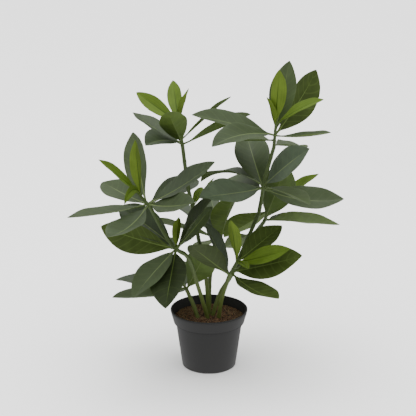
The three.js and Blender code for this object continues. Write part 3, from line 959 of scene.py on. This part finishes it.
RING_ACROSS, RING_FACING = leaf_ring()
RING_EDGE = np.abs(RING_ACROSS)
RING_COUNT = len(RING_ACROSS)
RING_RIGHT_MARGIN = RING_COUNT // 2


def blade_share(t):
    """Half the blade's width at a share of its length, as a share of the widest half."""
    u = np.clip((t - STALK_END) / (1 - STALK_END), 0, 1)
    widest = BLADE_RISE_POWER / (BLADE_RISE_POWER + BLADE_FALL_POWER)

    def outline(v):
        return v**BLADE_RISE_POWER * (1 - v) ** BLADE_FALL_POWER

    return outline(u) / outline(widest)


def leaf_chances(each, chance):
    """What chance gives one leaf: its twist, tip curl, waves and tone."""
    wave_share = min(1, each["half_width"] / WAVE_FULL_HALF_WIDTH)
    return {
        "twist": math.radians(TWIST) * chance.uniform(-1, 1),
        "curl": math.radians(TIP_CURL) * chance.uniform(*TIP_CURL_CHANCE),
        "phases": chance.uniform(0, 2 * math.pi, 2),
        "wave": WAVE_HEIGHT * chance.uniform(*WAVE_CHANCE) * wave_share,
        "tone": chance.uniform(0, 1),
    }


def leaf_line(base, each, given, t):
    """A leaf's middle at a share of its length, and the ways to its side and out of its face."""
    turn = math.radians(each["turn"])
    ahead = np.array([math.cos(turn), math.sin(turn), 0])
    up = np.array([0, 0, 1.0])
    arc = math.radians(each["bend"] or STRAIGHT_BEND)
    start = math.radians(each["rise"]) - arc / 2
    slope = start + arc * t
    forward = each["length"] * (math.sin(slope) - math.sin(start)) / arc
    upward = each["length"] * (math.cos(start) - math.cos(slope)) / arc
    upright = up * math.cos(slope) - ahead * math.sin(slope)
    beside = np.cross(ahead * math.cos(slope) + up * math.sin(slope), upright)
    roll = math.radians(each["roll"]) + given["twist"] * (t - TWIST_MIDDLE) * smooth(t, *TWIST_RANGE)
    side = beside * math.cos(roll) + upright * math.sin(roll)
    face = upright * math.cos(roll) - beside * math.sin(roll)
    return base + ahead * forward + up * upward, side, face


def leaf_lift(each, given, t, half, on_blade):
    """How far a cross-section's points stand out of the face: fold, tip curl, waves and quilting."""
    flat = math.hypot(1, FOLD_SOFTNESS) - FOLD_SOFTNESS
    fold = (np.hypot(RING_EDGE, FOLD_SOFTNESS) - FOLD_SOFTNESS) / flat
    lift = fold * half * math.sin(math.radians(LEAF_CUP)) * on_blade
    lift = lift + given["curl"] * each["length"] * smooth(t, TIP_CURL_FROM, 1) * TIP_CURL_REACH
    phase = np.where(RING_ACROSS > 0, *given["phases"])
    wave = np.sin(2 * math.pi * WAVES * t + phase) * smooth(1 - t, 0, WAVE_FADE)
    lift = lift + given["wave"] * on_blade * RING_EDGE**2 * wave
    if each["look"] == "young":
        return lift
    ripple = np.cos(2 * math.pi * VEINS_PER_SIDE * (t - VEIN_SWEEP * RING_EDGE**VEIN_SWEEP_POWER))
    quilted = smooth(RING_EDGE * half, *QUILT_FROM_RIB) * (1 - RING_EDGE**QUILT_EDGE_POWER)
    return lift - QUILT_HEIGHT * ripple * quilted * on_blade


def leaf_thickness(t, half, on_blade):
    """How far a cross-section's points are over or under its middle layer: body, groove and rib."""
    thick = STALK_HALF_THICKNESS + (BLADE_HALF_THICKNESS - STALK_HALF_THICKNESS) * on_blade
    thick = thick * (1 - TIP_THINNING * smooth(t, TIP_THINS_FROM, 1))
    squareness = STALK_SQUARENESS + (BLADE_SQUARENESS - STALK_SQUARENESS) * on_blade
    body = thick * (1 - RING_EDGE**squareness).clip(0) ** 0.5
    off_rib = RING_EDGE * half
    groove = GROOVE_DEPTH * np.exp(-((off_rib / GROOVE_WIDTH) ** 2)) * on_blade * (1 - t)
    rib = RIB_HEIGHT * np.exp(-((off_rib / RIB_WIDTH) ** 2)) * on_blade * (1 - t) ** RIB_TAPER_POWER
    return RING_FACING * body - np.where(RING_FACING > 0, groove, 0) - np.where(RING_FACING < 0, rib, 0)


def leaf_rings(base, each, given):
    """The rings of one leaf, and for each of their points its place across and along and the half width."""
    rings = []
    places = []
    for t in LEAF_STATIONS:
        centre, side, face = leaf_line(base, each, given, t)
        on_blade = smooth(t, *STALK_TO_BLADE)
        stalk = STALK_HALF_WIDTH * (1 - t) ** STALK_TAPER_POWER
        blade = each["half_width"] * blade_share(t)
        half = (blade**STALK_BLEND_POWER + stalk**STALK_BLEND_POWER) ** (1 / STALK_BLEND_POWER)
        across = RING_ACROSS * half * math.cos(math.radians(LEAF_CUP) * on_blade)
        out = leaf_lift(each, given, t, half, on_blade) + leaf_thickness(t, half, on_blade)
        rings.append(centre + np.outer(across, side) + np.outer(out, face))
        places.append(np.stack([RING_ACROSS, np.full(RING_COUNT, t), np.full(RING_COUNT, half)], axis=1))
    return rings, places


def add_leaf(parts, base, each, given):
    """One leaf: its upper and lower finish, and sharp lines along its two margins."""
    rings, places = leaf_rings(base, each, given)
    points, faces = rings_mesh(rings)
    tip_way = unit(rings[-1].mean(0) - rings[-3].mean(0))
    points[-1] = rings[-1].mean(0) + tip_way * TIP_POINT * each["length"]
    upper = 2 * list(LEAF_LOOKS).index(each["look"])
    ring_slots = [upper if j < RING_RIGHT_MARGIN else upper + 1 for j in range(RING_COUNT)]
    slots = ring_slots * (len(rings) - 1) + [slot for slot in ring_slots for _ in range(2)]
    sharp = np.zeros(len(points), int)
    sharp[0 : RING_COUNT * len(rings) : RING_COUNT] = 1
    sharp[RING_RIGHT_MARGIN : RING_COUNT * len(rings) : RING_COUNT] = 2
    stalk_end = places[0].mean(0)
    tip = places[-1].mean(0)
    tip[1] = 1
    place = np.concatenate([*places, [stalk_end, tip]])
    tone = np.full(len(points), given["tone"])
    parts.add(points, faces, slots, sharp, leaf_place=place, leaf_tone=tone)


def make_blades(name, chance, materials):
    """All the leaves of one mass, each seated at its share of the shoot's length."""
    foot, top, _ = shoot_line(name)
    parts = Parts()
    for each in SHOOTS[name]["leaves"]:
        add_leaf(parts, foot + (top - foot) * each["seat"], each, leaf_chances(each, chance))
    return parts.make(f"{name}_blades", materials)


# Pot and filling


def wall_radius(z):
    """The outside of the pot at a height."""
    if z < BAND_FOOT_Z:
        return BODY_FOOT_RADIUS + (BODY_TOP_RADIUS - BODY_FOOT_RADIUS) * z / BAND_FOOT_Z
    return BAND_FOOT_RADIUS + (RIM_RADIUS - BAND_FOOT_RADIUS) * (z - BAND_FOOT_Z) / BAND_HEIGHT


def rounded(profile):
    """A profile of corners, each with its radius, as points along arcs and straight runs."""
    points = []
    for i, (x, z, radius) in enumerate(profile):
        corner = np.array([x, z], float)
        if radius == 0:
            points.append(corner)
            continue
        before = np.array(profile[i - 1][:2], float)
        after = np.array(profile[i + 1][:2], float)
        reach_in = corner + unit(before - corner) * radius
        reach_out = corner + unit(after - corner) * radius
        for t in np.linspace(0, 1, ROUND_STEPS + 1):
            points.append((1 - t) ** 2 * reach_in + 2 * t * (1 - t) * corner + t**2 * reach_out)
    return points


def make_pot():
    """The pot's outside from the middle of the foot to the rim, then its inside down to the floor."""
    floor_z = POT_WALL + FOOT_RING_DEPTH
    ring_inside = BODY_FOOT_RADIUS - FOOT_RING_WIDTH
    rim_inside = RIM_RADIUS - POT_WALL
    corners = [
        (POT_MIDDLE_RADIUS, FOOT_RING_DEPTH, 0),
        (ring_inside, FOOT_RING_DEPTH, FOOT_RING_ROUND),
        (ring_inside + FOOT_RING_SLOPE, 0, FOOT_RING_ROUND),
        (BODY_FOOT_RADIUS - FOOT_EASE, 0, FOOT_ROUND),
        (BODY_TOP_RADIUS - STEP_EASE, BAND_FOOT_Z - STEP_SLOPE, STEP_ROUND),
        (BAND_FOOT_RADIUS, BAND_FOOT_Z, BAND_FOOT_ROUND),
        (RIM_RADIUS - LIP_OUT, POT_HEIGHT - LIP_HEIGHT - LIP_SLOPE, RIM_ROUND),
        (RIM_RADIUS, POT_HEIGHT - LIP_HEIGHT, LIP_ROUND),
        (RIM_RADIUS, POT_HEIGHT, RIM_ROUND),
        (rim_inside, POT_HEIGHT, RIM_ROUND),
        (rim_inside - RIM_INSIDE_TAPER, POT_HEIGHT - RIM_INSIDE_HEIGHT, RIM_ROUND),
        (BAND_FOOT_RADIUS - POT_WALL, BAND_FOOT_Z + POT_WALL, STEP_ROUND),
        (BODY_TOP_RADIUS - POT_WALL, BAND_FOOT_Z, STEP_ROUND),
        (BODY_FOOT_RADIUS - POT_WALL, floor_z, INSIDE_FOOT_ROUND),
        (POT_MIDDLE_RADIUS, floor_z, 0),
    ]
    rings = [circle(radius, POT_SIDES, height) for radius, height in rounded(corners)]
    return smooth_skin("nursery_pot", rings, pot_finish())


def soil_height(x, y):
    """The filling's surface: a low mound with small unevenness."""
    share = np.hypot(x, y) / BAND_FOOT_RADIUS
    broad = np.sin(x * SOIL_BROAD_WAVE[0] + SOIL_BROAD_WAVE_SHIFT) * np.cos(y * SOIL_BROAD_WAVE[1])
    fine = SOIL_FINE_WAVE_SHARE * np.sin(x * SOIL_FINE_WAVE[0] + y * SOIL_FINE_WAVE[1])
    return SOIL_Z + SOIL_MOUND * (1 - share**2) + SOIL_UNEVEN * (broad + fine) * (1 - share**4)


def make_soil():
    """The filling from the pot's floor up along its wall, then over its surface to the middle."""
    floor_z = POT_WALL + FOOT_RING_DEPTH + SOIL_FLOOR_GAP
    step_inside = BODY_TOP_RADIUS - POT_WALL
    under = [
        (SOIL_FLOOR_MIDDLE_RADIUS, floor_z),
        (wall_radius(floor_z) - POT_WALL - SOIL_FOOT_GAP, floor_z),
        (step_inside - SOIL_UNDER_STEP_GAP, BAND_FOOT_Z - SOIL_STEP_REACH),
        (step_inside - SOIL_OVER_STEP_GAP, BAND_FOOT_Z + SOIL_STEP_REACH),
    ]
    edge = wall_radius(SOIL_Z) - POT_WALL - SOIL_TOP_GAP
    rings = [circle(radius, SOIL_SIDES, height) for radius, height in under]
    rings += [circle(r, SOIL_SIDES, soil_height) for r in np.linspace(edge, SOIL_MIDDLE_RADIUS, SOIL_RINGS)]
    return smooth_skin("soil_filling", rings, soil_finish("soil between granules", SOIL_COLOUR))


def soil_top():
    """The open surface on which the granules are strewn."""
    edge = wall_radius(SOIL_Z) - POT_WALL - GRANULE_WALL_GAP
    radii = np.linspace(GRANULE_MIDDLE_RADIUS, edge, SOIL_RINGS)
    rings = [circle(radius, SOIL_SIDES, soil_height) for radius in radii]
    points = np.concatenate([[(0, 0, soil_height(0, 0))], *rings])
    faces = []
    for i in range(SOIL_RINGS):
        for j in range(SOIL_SIDES):
            a = 1 + i * SOIL_SIDES + j
            b = 1 + i * SOIL_SIDES + (j + 1) % SOIL_SIDES
            faces.append((0, a, b) if i == 0 else (a - SOIL_SIDES, a, b, b - SOIL_SIDES))
    return add_mesh("soil_top", points, faces)


def granule_tree(material, seed):
    """Geometry nodes that strew lumpy granules of one material over a surface."""
    tree = bpy.data.node_groups.new("strewn granules", "GeometryNodeTree")
    for way in ("INPUT", "OUTPUT"):
        tree.interface.new_socket("Geometry", in_out=way, socket_type="NodeSocketGeometry")

    def node(kind, settings, slots):
        return add_node(tree, kind, settings, slots).outputs

    surface = node("NodeGroupInput", {}, {})
    slots = {"Mesh": surface[0], "Density": GRANULES_PER_M2, "Seed": seed}
    strewn = node("GeometryNodeDistributePointsOnFaces", {}, slots)
    ball = node("GeometryNodeMeshIcoSphere", {}, {0: GRANULE_RADIUS * MM, 1: GRANULE_SUBDIVISIONS})
    spot = node("GeometryNodeInputPosition", {}, {})
    scale, detail = GRANULE_LUMP_NOISE
    lumps = node("ShaderNodeTexNoise", {}, {"Vector": spot[0], "Scale": scale, "Detail": detail})
    slots = {0: lumps["Color"], 1: (0.5, 0.5, 0.5)}
    either_way = node("ShaderNodeVectorMath", {"operation": "SUBTRACT"}, slots)
    slots = {0: either_way[0], "Scale": GRANULE_LUMP_HEIGHT * MM}
    shift = node("ShaderNodeVectorMath", {"operation": "SCALE"}, slots)
    lumpy = node("GeometryNodeSetPosition", {}, {"Geometry": ball["Mesh"], "Offset": shift[0]})
    slots = {1: (2 * math.pi,) * 3, "Seed": seed}
    turn = node("FunctionNodeRandomValue", {"data_type": "FLOAT_VECTOR"}, slots)
    slots = {0: GRANULE_SMALLEST, 1: GRANULE_LARGEST, "Seed": seed}
    size = node("FunctionNodeRandomValue", {"data_type": "FLOAT_VECTOR"}, slots)
    slots = {"Points": strewn["Points"], "Instance": lumpy[0], "Rotation": turn[0], "Scale": size[0]}
    placed = node("GeometryNodeInstanceOnPoints", {}, slots)
    real = node("GeometryNodeRealizeInstances", {}, {"Geometry": placed[0]})
    coloured = node("GeometryNodeSetMaterial", {}, {"Geometry": real[0], "Material": material})
    node("NodeGroupOutput", {}, {0: coloured[0]})
    return tree


def make_granules(name, surface):
    """One colour of granule over the surface, as a plain mesh."""
    kind = GRANULES[name]
    material = soil_finish(name.replace("_", " "), kind["colour"])
    modifier = surface.modifiers.new("granules", "NODES")
    modifier.node_group = granule_tree(material, kind["seed"])
    graph = bpy.context.evaluated_depsgraph_get()
    mesh = bpy.data.meshes.new_from_object(surface.evaluated_get(graph), depsgraph=graph)
    mesh.name = name
    surface.modifiers.remove(modifier)
    return add_object(name, mesh)


# Camera, floor and light


def make_camera():
    pitch = math.radians(CAMERA_PITCH)
    back = Vector((0, -math.cos(pitch), math.sin(pitch)))
    lens = bpy.data.cameras.new("camera")
    lens.sensor_width = SENSOR_WIDTH
    lens.sensor_fit = "HORIZONTAL"
    lens.lens = FOCAL_PIXELS * SENSOR_WIDTH / PICTURE_WIDTH
    lens.clip_end = CAMERA_SIGHT * MM
    camera = add_object("camera", lens)
    camera.location = Vector(CAMERA_TARGET) * MM + back * CAMERA_DISTANCE * MM
    camera.rotation_euler = (-back).to_track_quat("-Z", "Y").to_euler()
    bpy.context.scene.camera = camera


def make_sky():
    """A pale studio all round, brightest overhead, with the floor's own bounce from below."""
    world = bpy.data.worlds.new("studio")
    world.use_nodes = True
    tree = world.node_tree
    up = split(tree, add_node(tree, "ShaderNodeTexCoord", {}, {}).outputs["Generated"])[2]
    over, under = [up.between(0, part["at"]) * part["adds"] for part in (SKY_OVERHEAD, SKY_BOUNCE)]
    background = tree.nodes["Background"]
    feed(tree, over + under + SKY_HORIZON, background.inputs["Strength"])
    feed(tree, (1, 1, 1, 1), background.inputs["Color"])
    bpy.context.scene.world = world


def make_floor():
    """A floor that the camera sees and that neither shades nor lights the plant."""
    half = FLOOR_SIZE / 2
    corners = [(-half, -half, 0), (half, -half, 0), (half, half, 0), (-half, half, 0)]
    floor = add_mesh("floor", corners, [(0, 1, 2, 3)])
    floor.data.materials.append(floor_finish())
    floor.visible_diffuse = False
    floor.visible_glossy = False
    floor.visible_shadow = False
    return floor


def make_floor_light(floor):
    """A broad light from above that reaches the floor alone."""
    lit = bpy.data.collections.new("lit by the floor light")
    lit.objects.link(floor)
    sun = bpy.data.lights.new("floor light", "SUN")
    sun.energy = FLOOR_SUN["strength"]
    sun.angle = math.radians(FLOOR_SUN["spread"])
    add_object("floor light", sun).light_linking.receiver_collection = lit


def make_softbox():
    """A round softbox overhead, aimed at the plant's middle."""
    lamp = bpy.data.lights.new("overhead softbox", "AREA")
    lamp.shape = "DISK"
    lamp.size = SOFTBOX["size"] * MM
    lamp.energy = SOFTBOX["watts"]
    overhead = add_object("overhead softbox", lamp)
    overhead.location = Vector(SOFTBOX["at"]) * MM
    aim = Vector(CAMERA_TARGET) * MM - overhead.location
    overhead.rotation_euler = aim.to_track_quat("-Z", "Y").to_euler()


def dress(piece, slot, *nodes):
    """The piece rides with the plant and stands for the solids it replaces. Its slot is not used."""
    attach(piece, BODY)
    if nodes:
        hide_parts(*nodes)


make_camera()
make_sky()
make_floor_light(make_floor())
make_softbox()

dress(make_pot(), "pot", "pot")
dress(make_soil(), "soil", "soil")
strewn_on = soil_top()
for granules_name in GRANULES:
    dress(make_granules(granules_name, strewn_on), "soil")
bpy.data.objects.remove(strewn_on)

stem_material = stem_finish()
for limb_name in LIMBS:
    dress(make_limb(limb_name, stem_material), "stem", limb_name)

leaf_materials = [leaf_finish(name, side) for name in LEAF_LOOKS for side in ("upper", "lower")]
leaf_chance = np.random.default_rng(LEAF_SEED)
for mass_name in SHOOTS:
    dress(make_shoot(mass_name, stem_material), "stem", mass_name)
    dress(make_blades(mass_name, leaf_chance, leaf_materials), "leaves", mass_name)
